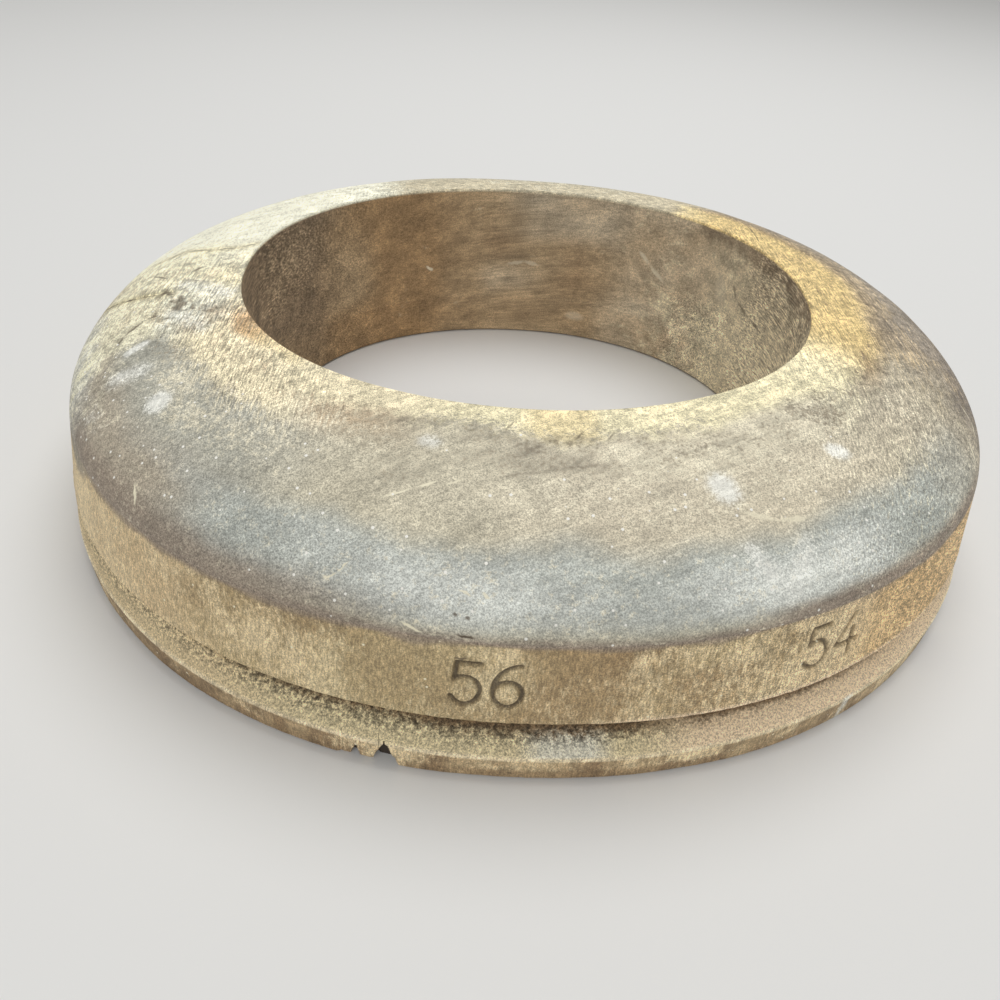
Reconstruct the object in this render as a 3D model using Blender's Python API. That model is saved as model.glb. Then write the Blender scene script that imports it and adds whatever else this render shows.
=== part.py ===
"""Wooden brim block for making hats: an oval ring glued up from six boards in two layers.

Metres, +Z up. The ring stands on Z = 0 with the middle of its outline on the origin. X runs along the
long axis of the ring and -Y is its front.
"""
import math

import bmesh
import bpy
from mathutils import Vector

# Head opening: its length and width average 7 inches, which is head size 7
OPENING_LENGTH = 0.1905
OPENING_WIDTH = 0.1651
# The ovals are superellipses: 2.0 is an ellipse, and a little more fills out the diagonals
OVAL_EXPONENT = 2.1
# The opening was sawn a little off the middle of the block
OPENING_OFFSET_X = -0.0018
OPENING_OFFSET_Y = 0.0042

# Thickness of the two layers and of the glue lines between boards
BASE_THICKNESS = 0.0174
BRIM_THICKNESS = 0.0488
GLUE_LINE = 0.0003

# Carved brim: how far it runs out from the rim of the opening, at the ends and at the sides
BRIM_RUN_AT_END = 0.0560
BRIM_RUN_AT_SIDE = 0.0565
BRIM_CURVE_EXPONENT = 1.9

# Side wall of the brim layer: upright part below the carved brim, leaning out towards its foot
WALL_HEIGHT = 0.0247
WALL_LEAN_AT_END = 0.0057
WALL_LEAN_AT_SIDE = 0.0040

# Base layer: the lip stands out past the wall. The cord groove above it is cut in under the wall, deep
# along the sides and shallow round the ends.
LIP_HEIGHT = 0.0088
LIP_REACH_AT_END = 0.0010
LIP_REACH_AT_SIDE = 0.0042
GROOVE_DEPTH_AT_END = 0.0022
GROOVE_DEPTH_AT_SIDE = 0.0070

# Sawn edges are eased by hand
EDGE_EASE = 0.0006

# The joint of the brim boards, measured back from the middle of the opening
BRIM_JOINT_BACK = 0.0152
# The joints of the base boards, measured in from the left and the right end of the opening
BASE_JOINT_IN_LEFT = 0.0535
BASE_JOINT_IN_RIGHT = 0.0136

# Fineness of the facets
RING_SEGMENTS = 120
BRIM_CURVE_STEPS = 14
SMOOTH_BELOW = math.radians(30)

BRIM_UNDERSIDE = BASE_THICKNESS + GLUE_LINE
BLOCK_HEIGHT = BRIM_UNDERSIDE + BRIM_THICKNESS
WALL_TOP = BRIM_UNDERSIDE + WALL_HEIGHT


def remove_everything():
    """Empty the scene that the script starts in."""
    for thing in list(bpy.data.objects):
        bpy.data.objects.remove(thing, do_unlink=True)


def wood(name, colour, roughness):
    """A plain wood material of one colour."""
    material = bpy.data.materials.new(name)
    material.use_nodes = True
    shader = material.node_tree.nodes["Principled BSDF"]
    shader.inputs["Base Color"].default_value = (*colour, 1.0)
    shader.inputs["Roughness"].default_value = roughness
    shader.inputs["Metallic"].default_value = 0.0
    return material


def on_oval(out_ends, out_sides, shift, turn):
    """The point at the angle turn on an oval that lies outside the opening.

    out_ends and out_sides are its distance out from the opening. shift is 0 for an oval round the
    middle of the opening and 1 for one round the middle of the block.
    """
    power = 2.0 / OVAL_EXPONENT
    along = math.copysign(abs(math.cos(turn)) ** power, math.cos(turn))
    across = math.copysign(abs(math.sin(turn)) ** power, math.sin(turn))
    off_middle = 1.0 - shift
    x = OPENING_OFFSET_X * off_middle + (OPENING_LENGTH / 2 + out_ends) * along
    y = OPENING_OFFSET_Y * off_middle + (OPENING_WIDTH / 2 + out_sides) * across
    return x, y


def brim_curve():
    """The carved brim from the rim of the opening out to the top of the wall.

    It is a quarter of a superellipse in slanted axes, level at the rim and in line with the leaning
    wall at its outer end.
    """
    rise = BLOCK_HEIGHT - WALL_TOP
    power = 2.0 / BRIM_CURVE_EXPONENT
    points = []
    for step in range(1, BRIM_CURVE_STEPS):
        quarter_turn = step / BRIM_CURVE_STEPS * math.pi / 2
        outwards = math.sin(quarter_turn) ** power
        drop = 1.0 - math.cos(quarter_turn) ** power
        row = []
        for run, lean in ((BRIM_RUN_AT_END, WALL_LEAN_AT_END), (BRIM_RUN_AT_SIDE, WALL_LEAN_AT_SIDE)):
            slant = lean / WALL_HEIGHT * rise
            row.append((run - slant) * outwards + slant * drop)
        points.append((row[0], row[1], BLOCK_HEIGHT - rise * drop, row[0] / BRIM_RUN_AT_END))
    return points


def brim_section():
    """Section of the brim layer as (out_ends, out_sides, height, shift), once round."""
    foot_ends = BRIM_RUN_AT_END + WALL_LEAN_AT_END
    foot_sides = BRIM_RUN_AT_SIDE + WALL_LEAN_AT_SIDE
    section = [(0.0, 0.0, BRIM_UNDERSIDE, 0.0)]
    section.append((foot_ends - EDGE_EASE, foot_sides - EDGE_EASE, BRIM_UNDERSIDE, 1.0))
    section.append((foot_ends, foot_sides, BRIM_UNDERSIDE + EDGE_EASE, 1.0))
    section.append((BRIM_RUN_AT_END, BRIM_RUN_AT_SIDE, WALL_TOP, 1.0))
    section.extend(reversed(brim_curve()))
    section.append((EDGE_EASE, EDGE_EASE, BLOCK_HEIGHT, 0.0))
    section.append((0.0, 0.0, BLOCK_HEIGHT - EDGE_EASE, 0.0))
    return section


def base_section():
    """Section of the base layer, whose top slopes down past the groove root to the lip."""
    foot_ends = BRIM_RUN_AT_END + WALL_LEAN_AT_END
    foot_sides = BRIM_RUN_AT_SIDE + WALL_LEAN_AT_SIDE
    lip_ends = foot_ends + LIP_REACH_AT_END
    lip_sides = foot_sides + LIP_REACH_AT_SIDE
    section = [(0.0, 0.0, EDGE_EASE, 0.0)]
    section.append((EDGE_EASE, EDGE_EASE, 0.0, 0.0))
    section.append((lip_ends - EDGE_EASE, lip_sides - EDGE_EASE, 0.0, 1.0))
    section.append((lip_ends, lip_sides, EDGE_EASE, 1.0))
    section.append((lip_ends, lip_sides, LIP_HEIGHT, 1.0))
    root_ends = foot_ends - GROOVE_DEPTH_AT_END
    root_sides = foot_sides - GROOVE_DEPTH_AT_SIDE
    section.append((root_ends, root_sides, BASE_THICKNESS, 1.0))
    section.append((0.0, 0.0, BASE_THICKNESS, 0.0))
    return section


def sweep(section):
    """Carry a section once round the opening and close it into a ring."""
    ring = bmesh.new()
    rows = []
    for segment in range(RING_SEGMENTS):
        turn = 2 * math.pi * (segment + 0.5) / RING_SEGMENTS
        row = []
        for out_ends, out_sides, height, shift in section:
            x, y = on_oval(out_ends, out_sides, shift, turn)
            row.append(ring.verts.new((x, y, height)))
        rows.append(row)
    for segment in range(RING_SEGMENTS):
        here = rows[segment]
        there = rows[(segment + 1) % RING_SEGMENTS]
        for corner in range(len(section)):
            after = (corner + 1) % len(section)
            ring.faces.new((here[corner], there[corner], there[after], here[after]))
    return ring


def trim(solid, point, outwards):
    """Saw a solid along the plane through point and take away what lies outwards of it."""
    parts = solid.verts[:] + solid.edges[:] + solid.faces[:]
    bmesh.ops.bisect_plane(
        solid, geom=parts, dist=1e-7, plane_co=point, plane_no=outwards, clear_outer=True
    )
    sawn_edges = [edge for edge in solid.edges if edge.is_boundary]
    bmesh.ops.holes_fill(solid, edges=sawn_edges)


def board(name, section, saw_cuts, material):
    """One board: the ring with this section, trimmed by each saw cut."""
    solid = sweep(section)
    for point, outwards in saw_cuts:
        trim(solid, Vector(point), Vector(outwards))
    bmesh.ops.recalc_face_normals(solid, faces=solid.faces)
    mesh = bpy.data.meshes.new(name)
    solid.to_mesh(mesh)
    solid.free()
    mesh.shade_smooth()
    mesh.set_sharp_from_angle(angle=SMOOTH_BELOW)
    mesh.materials.append(material)
    thing = bpy.data.objects.new(name, mesh)
    bpy.context.scene.collection.objects.link(thing)
    return thing


def brim_boards():
    """The thick upper layer: a back and a front board that meet along the long axis."""
    joint = OPENING_OFFSET_Y + BRIM_JOINT_BACK
    behind_joint = ((0, joint + GLUE_LINE / 2, 0), (0, -1, 0))
    before_joint = ((0, joint - GLUE_LINE / 2, 0), (0, 1, 0))
    section = brim_section()
    board("brim_board_back", section, [behind_joint], wood("pale_wood", (0.52, 0.44, 0.33), 0.72))
    board("brim_board_front", section, [before_joint], wood("grey_wood", (0.38, 0.33, 0.27), 0.66))


def base_boards():
    """The thin bottom layer: a left and a right board, and a middle one that the opening parts in two."""
    left_joint = OPENING_OFFSET_X - OPENING_LENGTH / 2 + BASE_JOINT_IN_LEFT
    right_joint = OPENING_OFFSET_X + OPENING_LENGTH / 2 - BASE_JOINT_IN_RIGHT
    half_line = GLUE_LINE / 2
    left_of_left = ((left_joint - half_line, 0, 0), (1, 0, 0))
    right_of_left = ((left_joint + half_line, 0, 0), (-1, 0, 0))
    left_of_right = ((right_joint - half_line, 0, 0), (1, 0, 0))
    right_of_right = ((right_joint + half_line, 0, 0), (-1, 0, 0))
    before_opening = ((0, OPENING_OFFSET_Y, 0), (0, 1, 0))
    behind_opening = ((0, OPENING_OFFSET_Y, 0), (0, -1, 0))
    front_cuts = [right_of_left, left_of_right, before_opening]
    back_cuts = [right_of_left, left_of_right, behind_opening]
    section = base_section()
    board("base_board_left", section, [left_of_left], wood("tan_wood", (0.36, 0.26, 0.17), 0.78))
    board("base_board_right", section, [right_of_right], wood("brown_wood", (0.33, 0.23, 0.15), 0.78))
    board("base_board_front", section, front_cuts, wood("warm_wood", (0.35, 0.24, 0.15), 0.78))
    board("base_board_back", section, back_cuts, wood("dark_wood", (0.30, 0.21, 0.14), 0.80))


def main():
    remove_everything()
    brim_boards()
    base_boards()


main()
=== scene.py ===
"""The hat brim block with its worn wood: six boards, the camera, a pale floor and soft light.

Lengths are in millimetres until a mesh is made. X runs along the long axis, -Y is the front, and the block
stands on Z = 0, as its solids do. A bearing is the angle round the ring in degrees: 0 is the right end,
90 the back, 180 the left end and -90 the front.
"""
import math

import bmesh
import bpy
import numpy as np
from mathutils import Matrix


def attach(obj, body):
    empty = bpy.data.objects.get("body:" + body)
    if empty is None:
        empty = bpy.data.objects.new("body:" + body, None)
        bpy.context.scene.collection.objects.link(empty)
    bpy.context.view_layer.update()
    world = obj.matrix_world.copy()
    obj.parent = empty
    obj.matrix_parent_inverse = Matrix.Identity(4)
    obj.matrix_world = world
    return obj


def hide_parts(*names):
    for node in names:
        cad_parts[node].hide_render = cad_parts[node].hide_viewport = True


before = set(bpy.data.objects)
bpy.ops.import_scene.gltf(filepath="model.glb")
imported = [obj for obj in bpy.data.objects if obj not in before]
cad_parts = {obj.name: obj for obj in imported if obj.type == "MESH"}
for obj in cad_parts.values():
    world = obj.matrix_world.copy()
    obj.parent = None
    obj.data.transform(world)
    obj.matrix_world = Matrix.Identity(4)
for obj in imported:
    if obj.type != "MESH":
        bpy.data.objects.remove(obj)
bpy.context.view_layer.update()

# Head opening and the ovals round it
HALF_LENGTH = 95.25
HALF_WIDTH = 82.55
OVAL_EXPONENT = 2.1
OFFSET_X = -1.8
OFFSET_Y = 4.2

# Carved brim and the wall below it, at the ends and at the sides
RUN_ENDS = 56.0
RUN_SIDES = 56.5
LEAN_ENDS = 5.7
LEAN_SIDES = 4.0
BRIM_POWER = 1.9
BLOCK_HEIGHT = 66.5
WALL_TOP = 42.4
WALL_HEIGHT = 24.7

# The layers meet in the groove. The lip stands out below it.
LAYER_JOINT = 17.55
BASE_TOP = 17.4
LIP_HEIGHT = 8.8
LIP_REACH_ENDS = 1.0
LIP_REACH_SIDES = 4.2
GROOVE_ENDS = 2.2
GROOVE_SIDES = 7.0

# Where the boards meet, and half the gap that shows at each joint
BRIM_JOINT_Y = 19.4
BASE_JOINT_LEFT = -43.55
BASE_JOINT_RIGHT = 79.85
HALF_GAP = 0.04
HALF_LAYER_GAP = 0.02

METRES = 0.001
SMOOTH_BELOW = 50.0

# How far out the foot of the wall stands
FOOT_ENDS = RUN_ENDS + LEAN_ENDS
FOOT_SIDES = RUN_SIDES + LEAN_SIDES

# Radii of the eased edges, and how far in the underside of the upper layer is drawn
RIM_RADIUS = 0.7
FOOT_RADIUS = 0.5
LIP_FOOT_RADIUS = 0.8
LIP_TOP_RADIUS = 0.4
UNDER_REACH = 52.0

# A distance past everything
FAR = 1e9

# Which material of its board a surface has, by number. The sawn ends and the left end have their own.
MATERIAL_OF = {"brim": 0, "rim": 0, "floor": 0, "wall": 1, "lip": 1, "bore": 2, "under": 3}
SAWN = 3
LEFT_END = 4

# Size marks on the wall: their digits, middle in x, lower edge and height
MARKS = (("56", -17.9, 23.0, 13.2), ("54", 70.6, 24.4, 13.0))
# Digits are drawn 1 high: the step from one to the next and the middle of a pair
DIGIT_STEP = 0.76
MIDDLE_OF_MARK = 0.68

# Section of a stamped stroke: half widths of its floor and mouth, its depth, and the burr beside it
STROKE_FLOOR = 0.3
STROKE_MOUTH = 0.9
STROKE_DEPTH = 1.0
BURR_AT = 1.15
BURR_WIDTH = 0.35
BURR_HEIGHT = 0.08

# Damage on the brim, as (bearing, out) places, and the end of the block that has its own material
CRACK_BACK = ((-178.7, 0.87), (-176.1, 0.68), (-174.2, 0.56), (-172.7, 0.42), (-172.2, 0.37))
CRACK_FRONT = ((-161.4, 0.63), (-163.3, 0.59), (-165.3, 0.47), (-165.0, 0.41))
TORN_GRAIN = ((-172.5, 0.40), (-168.0, 0.32), (-164.0, 0.26), (-161.0, 0.17))
STAINED_JOINT = ((169.2, 0.02), (172.3, 0.11), (172.6, 0.26), (171.0, 0.45), (172.9, 0.60))
LEFT_END_X = -66.0

# Damage on the lip: a broken wedge, a notch beside it and chips, each with its depth
WEDGE_X = -42.3
WEDGE_HALF = 3.5
WEDGE_DEPTH = 2.6
NOTCH_X = -49.7
NOTCH_HALF = 1.3
NOTCH_HEIGHT = 5.4
NOTCH_DEPTH = 1.6
CHIPPED_X = (-54.0, -44.0)
CHIP_DEPTH = 0.8

# A tuft of fibres in the groove
TUFT = (15.6, -141.2, 13.1)
TUFT_SIZE = 1.1

# Thin marks, each a line through (bearing, out) places with its half width and strength
PALE_SCRATCHES = (
    (((-108.6, 0.532), (-105.2, 0.465), (-102.8, 0.425)), 0.5, 0.9),
    (((-102.2, 0.438), (-99.8, 0.398)), 0.45, 0.7),
    (((-111.2, 0.86), (-110.0, 0.829), (-109.2, 0.779)), 0.45, 0.7),
    (((-103.7, 0.953), (-101.5, 0.987)), 0.5, 1.0),
    (((-98.9, 0.816), (-97.8, 0.829)), 0.5, 0.7),
    (((-97.0, 0.813), (-96.2, 0.839)), 0.5, 0.7),
    (((-52.8, 0.559), (-53.1, 0.602)), 0.45, 1.0),
    (((-22.2, 0.756), (-23.4, 0.849), (-26.0, 0.883)), 0.5, 0.8),
    (((-29.4, 0.816), (-31.3, 0.923)), 0.6, 1.0),
    (((-71.5, 0.559), (-67.6, 0.625), (-63.8, 0.640)), 1.1, 0.6),
)
# Dark hairs, pin holes and a chip on the front of the brim
DARK_SCRATCHES = (
    (((-96.0, 0.15), (-94.6, 0.09)), 0.5, 0.6),
    (((-87.5, 0.184), (-85.8, 0.13)), 0.5, 0.6),
    (((-83.4, 0.197), (-81.8, 0.14)), 0.5, 0.6),
    (((-98.8, 0.40), (-82.0, 0.30)), 0.7, 0.3),
    (((-99.05, 0.90), (-98.95, 0.90)), 0.7, 0.8),
    (((-97.95, 0.906), (-97.85, 0.906)), 0.7, 0.8),
    (((-98.9, 0.975), (-97.0, 0.98)), 0.5, 1.0),
    (((37.5, 0.338), (20.5, 0.047)), 0.5, 0.7),
)
LEFT_PALE_SCRATCHES = ((((-136.2, 0.843), (-134.6, 0.92)), 0.6, 1.0),)
# Cracks and dark dashes along the grain of the left end
LEFT_DARK_SCRATCHES = (
    (CRACK_BACK, 0.55, 0.9),
    (CRACK_FRONT, 0.6, 0.8),
    (STAINED_JOINT, 0.7, 0.55),
    (((178.6, 0.565), (-177.5, 0.40)), 0.45, 0.7),
    (((-178.2, 0.30), (179.8, 0.244)), 0.6, 0.7),
    (((173.2, 0.452), (173.7, 0.498)), 0.5, 0.7),
    (((168.5, 0.47), (166.5, 0.40)), 0.5, 0.7),
    (((-176.0, 0.33), (-173.5, 0.20)), 0.45, 0.6),
    (((-163.5, 0.42), (-161.0, 0.28)), 0.5, 0.5),
)
WALL_SCRATCHES = ((((-98.8, 0.205), (-97.6, 0.195)), 0.45, 0.8),)
BORE_SCRATCHES = (
    (((112.5, 0.505), (111.0, 0.53)), 1.0, 0.9),
    (((91.0, 0.50), (87.0, 0.475), (83.5, 0.50)), 1.2, 0.45),
    (((56.5, 0.29), (53.0, 0.36), (47.5, 0.46)), 1.2, 0.6),
    (((74.0, 0.84), (70.5, 0.84)), 3.0, 0.35),
    (((30.5, 0.28), (28.0, 0.42)), 4.0, 0.25),
)
BORE_CRACKS = (
    (((25.3, 0.268), (23.2, 0.344), (17.1, 0.398), (9.6, 0.42)), 0.9, 0.6),
    (((92.0, 0.47), (84.0, 0.47)), 4.0, 0.3),
    (((57.5, 0.33), (52.0, 0.50)), 3.0, 0.35),
)
# How far noise sends the thin marks off their lines, in metres
WAVER = 0.0016

# Colours that the materials lay
# White of chalky rubbed spots, also laid as painted sheen
CHALK_DUST_AND_SHEEN = (0.93, 0.93, 0.86, 1.0)
DIRT = (0.20, 0.16, 0.11, 1.0)
# Painted shade in cut recesses: the stamped strokes and the lip's broken wedge and notch
CUT_SHADE = (0.05, 0.035, 0.025, 1.0)
# Dark on the rough faces: real dirt, and painted shade on the sawn end beside the lip's broken wedge
ROUGH_DIRT_AND_SHADE = (0.06, 0.05, 0.035, 1.0)
DARK_LINE = (0.12, 0.09, 0.06, 1.0)
WALL_LINE = (0.12, 0.08, 0.05, 1.0)
PALE_LINE = (0.95, 0.88, 0.66, 1.0)
BORE_LINE = (0.88, 0.80, 0.62, 1.0)
BRIM_FLECK = (0.97, 0.95, 0.88, 1.0)
WALL_FLECK = (0.97, 0.90, 0.68, 1.0)

# Outs past the rim and past the edge of the wall, for patches that reach all the way
INNER = -0.2
OUTER = 1.3


def hashed(cells, seed):
    """A steady number from 0 to 1 for each whole-number cell."""
    mixed = cells[..., 0] * 73856093 ^ cells[..., 1] * 19349663 ^ cells[..., 2] * 83492791 ^ seed * 40503
    mixed = mixed & 0xFFFFFFFF
    mixed = ((mixed ^ (mixed >> 15)) * 739982445) & 0xFFFFFFFF
    mixed = ((mixed ^ (mixed >> 12)) * 695872825) & 0xFFFFFFFF
    mixed = mixed ^ (mixed >> 15)
    return (mixed & 0xFFFFFF) / 0xFFFFFF


def noise(points, size, seed):
    """Soft lumps of this size, from -1 to 1. size is one length, or one along each axis."""
    scaled = points / np.asarray(size, float)
    cells = np.floor(scaled).astype(np.int64)
    part = scaled - np.floor(scaled)
    part = part * part * (3 - 2 * part)
    total = np.zeros(points.shape[:-1])
    for corner in range(8):
        step = np.array([corner & 1, corner >> 1 & 1, corner >> 2 & 1])
        share = np.where(step == 1, part, 1 - part).prod(-1)
        total += share * hashed(cells + step, seed)
    return total * 2 - 1


def rough_noise(points, size, seed, octaves=3):
    """Lumps with smaller lumps on them, from about -1 to 1."""
    total = np.zeros(points.shape[:-1])
    weight = 1.0
    for octave in range(octaves):
        total += weight * noise(points, np.asarray(size, float) / 2 ** octave, seed + octave)
        weight *= 0.55
    return total / 1.6


def ease(value, low, high):
    """0 below low, 1 above high and a soft step between."""
    part = np.clip((value - low) / (high - low), 0, 1)
    return part * part * (3 - 2 * part)


def between(value, low, high, soft):
    """1 between low and high, fading to 0 over a soft edge."""
    return ease(value, low - soft, low + soft) * (1 - ease(value, high - soft, high + soft))


def rounded_power(value, power):
    """A power that keeps the sign."""
    return np.sign(value) * np.abs(value) ** power


def on_oval(out_ends, out_sides, shift, turn):
    """Points at the angles turn on an oval this far out from the opening."""
    along = rounded_power(np.cos(turn), 2 / OVAL_EXPONENT)
    across = rounded_power(np.sin(turn), 2 / OVAL_EXPONENT)
    x = OFFSET_X * (1 - shift) + (HALF_LENGTH + out_ends) * along
    y = OFFSET_Y * (1 - shift) + (HALF_WIDTH + out_sides) * across
    return x, y


def turn_at_y(row, y):
    """The angle, between the right end and the back, at which the oval of a row reaches y."""
    across = (y - OFFSET_Y * (1 - row["shift"])) / (HALF_WIDTH + row["sides"])
    return math.asin(rounded_power(across, OVAL_EXPONENT / 2))


def turn_at_x(row, x):
    """The angle, from the right end round to the back, at which the oval of a row reaches x."""
    along = (x - OFFSET_X * (1 - row["shift"])) / (HALF_LENGTH + row["ends"])
    return math.acos(rounded_power(along, OVAL_EXPONENT / 2))


def section_row(ends, sides, height, shift, region, out=0.0):
    """One row of the section: how far out, how high, and which surface it belongs to."""
    return {"ends": ends, "sides": sides, "height": height, "shift": shift, "region": region, "out": out}


def brim_point(quarter_turn):
    """A point of the carved brim, from the rim at 0 to the top of the wall at a quarter turn."""
    power = 2 / BRIM_POWER
    rise = BLOCK_HEIGHT - WALL_TOP
    outwards = math.sin(quarter_turn) ** power
    drop = 1 - max(0.0, math.cos(quarter_turn)) ** power
    reach = []
    for run, lean in ((RUN_ENDS, LEAN_ENDS), (RUN_SIDES, LEAN_SIDES)):
        slant = lean / WALL_HEIGHT * rise
        reach.append((run - slant) * outwards + slant * drop)
    return reach[0], reach[1], BLOCK_HEIGHT - rise * drop


def brim_lengths():
    """Distances over the brim surface from the rim, at angles spread over the quarter turn."""
    turns = np.linspace(0, math.pi / 2, 401)
    points = [brim_point(turn) for turn in turns]
    lengths = [0.0]
    for before, after in zip(points, points[1:]):
        lengths.append(lengths[-1] + math.hypot(after[0] - before[0], after[2] - before[2]))
    return turns, np.array(lengths)


TURNS, LENGTHS = brim_lengths()


def brim_at(share):
    """A point of the brim by its share of the way over the surface from the rim to the wall."""
    return brim_point(float(np.interp(share * LENGTHS[-1], LENGTHS, TURNS)))


def place_on(region, bearing, out):
    """A place on a surface. out runs from the rim over the brim, down the wall or down the bore."""
    turn = math.radians(bearing)
    if region == "brim":
        ends, sides, height = brim_at(out)
        x, y = on_oval(ends, sides, ends / RUN_ENDS, turn)
    elif region == "wall":
        x, y = on_oval(RUN_ENDS + LEAN_ENDS * out, RUN_SIDES + LEAN_SIDES * out, 1.0, turn)
        height = WALL_TOP - WALL_HEIGHT * out
    else:
        x, y = on_oval(0.0, 0.0, 0.0, turn)
        height = BLOCK_HEIGHT * (1 - out)
    return np.array([float(x), float(y), height])


def normal_on(region, bearing, out):
    """The direction a surface faces at a place, either way round."""
    along = place_on(region, bearing + 0.3, out) - place_on(region, bearing - 0.3, out)
    outwards = place_on(region, bearing, out + 0.01) - place_on(region, bearing, out - 0.01)
    normal = np.cross(along, outwards)
    return normal / np.linalg.norm(normal)


def path_on(region, *places):
    """A line over a surface through places given as (bearing, out)."""
    return [place_on(region, bearing, out) for bearing, out in places]


def brim_rows(count):
    """Rows of the carved brim from the top of the wall in to the rim, evenly spaced over the surface."""
    rows = []
    rim_edge = RIM_RADIUS / LENGTHS[-1]
    for share in np.linspace(1.0, rim_edge, count):
        ends, sides, height = brim_at(share)
        rows.append(section_row(ends, sides, height, ends / RUN_ENDS, "brim", share))
    return rows


def rounded_corner(ends, sides, height, shift, region, radius, start, stop, out=0.0):
    """Rows round an edge: start and stop are angles in degrees, 0 pointing outwards and 90 up."""
    rows = []
    for degrees in np.linspace(start, stop, 4):
        outwards = radius * math.cos(math.radians(degrees))
        up = radius * math.sin(math.radians(degrees))
        rows.append(section_row(ends + outwards, sides + outwards, height + up, shift, region, out))
    return rows


def wall_row(height):
    """A row of the leaning wall at this height."""
    share = (WALL_TOP - height) / WALL_HEIGHT
    ends = RUN_ENDS + LEAN_ENDS * share
    return section_row(ends, RUN_SIDES + LEAN_SIDES * share, height, 1.0, "wall", 1.0)


def brim_section(mark_rows):
    """Rows of the upper layer, once round. mark_rows is how many cross the height of the number marks."""
    bottom = LAYER_JOINT + HALF_LAYER_GAP
    rows = [section_row(0.0, 0.0, bottom, 0.0, "bore")]
    for share in (0.2, 0.5, 0.8):
        rows.append(section_row(share * UNDER_REACH, share * UNDER_REACH, bottom, share, "under"))
    for inset in (8.5, 5.5, 3.0, 1.3):
        rows.append(section_row(FOOT_ENDS - inset, FOOT_SIDES - inset, bottom, 1.0, "under"))
    foot = (FOOT_ENDS - FOOT_RADIUS, FOOT_SIDES - FOOT_RADIUS, bottom + FOOT_RADIUS)
    rows += rounded_corner(*foot, 1.0, "wall", FOOT_RADIUS, -90, 8, 1.0)
    heights = list(np.linspace(18.7, 22.2, 5)) + list(np.linspace(22.6, 37.8, mark_rows))
    heights += list(np.linspace(38.6, WALL_TOP - 0.5, 5))
    rows += [wall_row(height) for height in heights]
    rows += brim_rows(48)
    rim_height = BLOCK_HEIGHT - RIM_RADIUS
    rows += rounded_corner(RIM_RADIUS, RIM_RADIUS, rim_height, 0.0, "rim", RIM_RADIUS, 90, 180)
    for height in np.linspace(BLOCK_HEIGHT - 2 * RIM_RADIUS, bottom + 0.6, 24):
        rows.append(section_row(0.0, 0.0, height, 0.0, "bore"))
    return rows


def base_section(floor_rows):
    """Rows of the bottom layer, once round."""
    top = LAYER_JOINT - HALF_LAYER_GAP
    lip_ends = FOOT_ENDS + LIP_REACH_ENDS
    lip_sides = FOOT_SIDES + LIP_REACH_SIDES
    root_ends = FOOT_ENDS - GROOVE_ENDS
    root_sides = FOOT_SIDES - GROOVE_SIDES
    rows = []
    for share in (0.02, 0.2, 0.5, 0.8):
        rows.append(section_row(share * lip_ends, share * lip_sides, 0.0, share, "under"))
    low_edge = (lip_ends - LIP_FOOT_RADIUS, lip_sides - LIP_FOOT_RADIUS, LIP_FOOT_RADIUS)
    rows += rounded_corner(*low_edge, 1.0, "lip", LIP_FOOT_RADIUS, -90, 0)
    for height in np.linspace(1.3, LIP_HEIGHT - 0.8, 15):
        rows.append(section_row(lip_ends, lip_sides, height, 1.0, "lip"))
    high_edge = (lip_ends - LIP_TOP_RADIUS, lip_sides - LIP_TOP_RADIUS, LIP_HEIGHT - LIP_TOP_RADIUS)
    rows += rounded_corner(*high_edge, 1.0, "lip", LIP_TOP_RADIUS, 0, 70)
    for share in np.linspace(0.06, 1.0, floor_rows):
        ends = lip_ends + (root_ends - lip_ends) * share
        sides = lip_sides + (root_sides - lip_sides) * share
        height = LIP_HEIGHT + (BASE_TOP - LIP_HEIGHT) * share
        rows.append(section_row(ends, sides, height, 1.0, "floor", share))
    for share in (0.85, 0.5, 0.15):
        rows.append(section_row(share * root_ends, share * root_sides, top, share, "under"))
    for height in np.linspace(top, 0.6, 12):
        rows.append(section_row(0.0, 0.0, height, 0.0, "bore"))
    return rows


def column_turns(start, stop, spacing, zones):
    """Angles from start to stop, this far apart along the outer edge and closer within the zones.

    A zone is (bearing, half width in degrees, spacing).
    """
    fine = np.linspace(start, stop, 24001)
    x, y = on_oval(RUN_ENDS, RUN_SIDES, 1.0, fine)
    steps = np.hypot(np.diff(x), np.diff(y))
    bearings = np.degrees((fine[1:] + fine[:-1]) / 2)
    gaps = np.full(bearings.shape, spacing)
    for bearing, half_width, closer in zones:
        away = np.abs((bearings - bearing + 180) % 360 - 180)
        gaps = np.where(away < half_width, np.minimum(gaps, closer), gaps)
    counted = np.concatenate([[0], np.cumsum(steps / gaps)])
    count = int(math.ceil(counted[-1]))
    return np.interp(np.linspace(0, counted[-1], count + 1), counted, fine)


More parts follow.
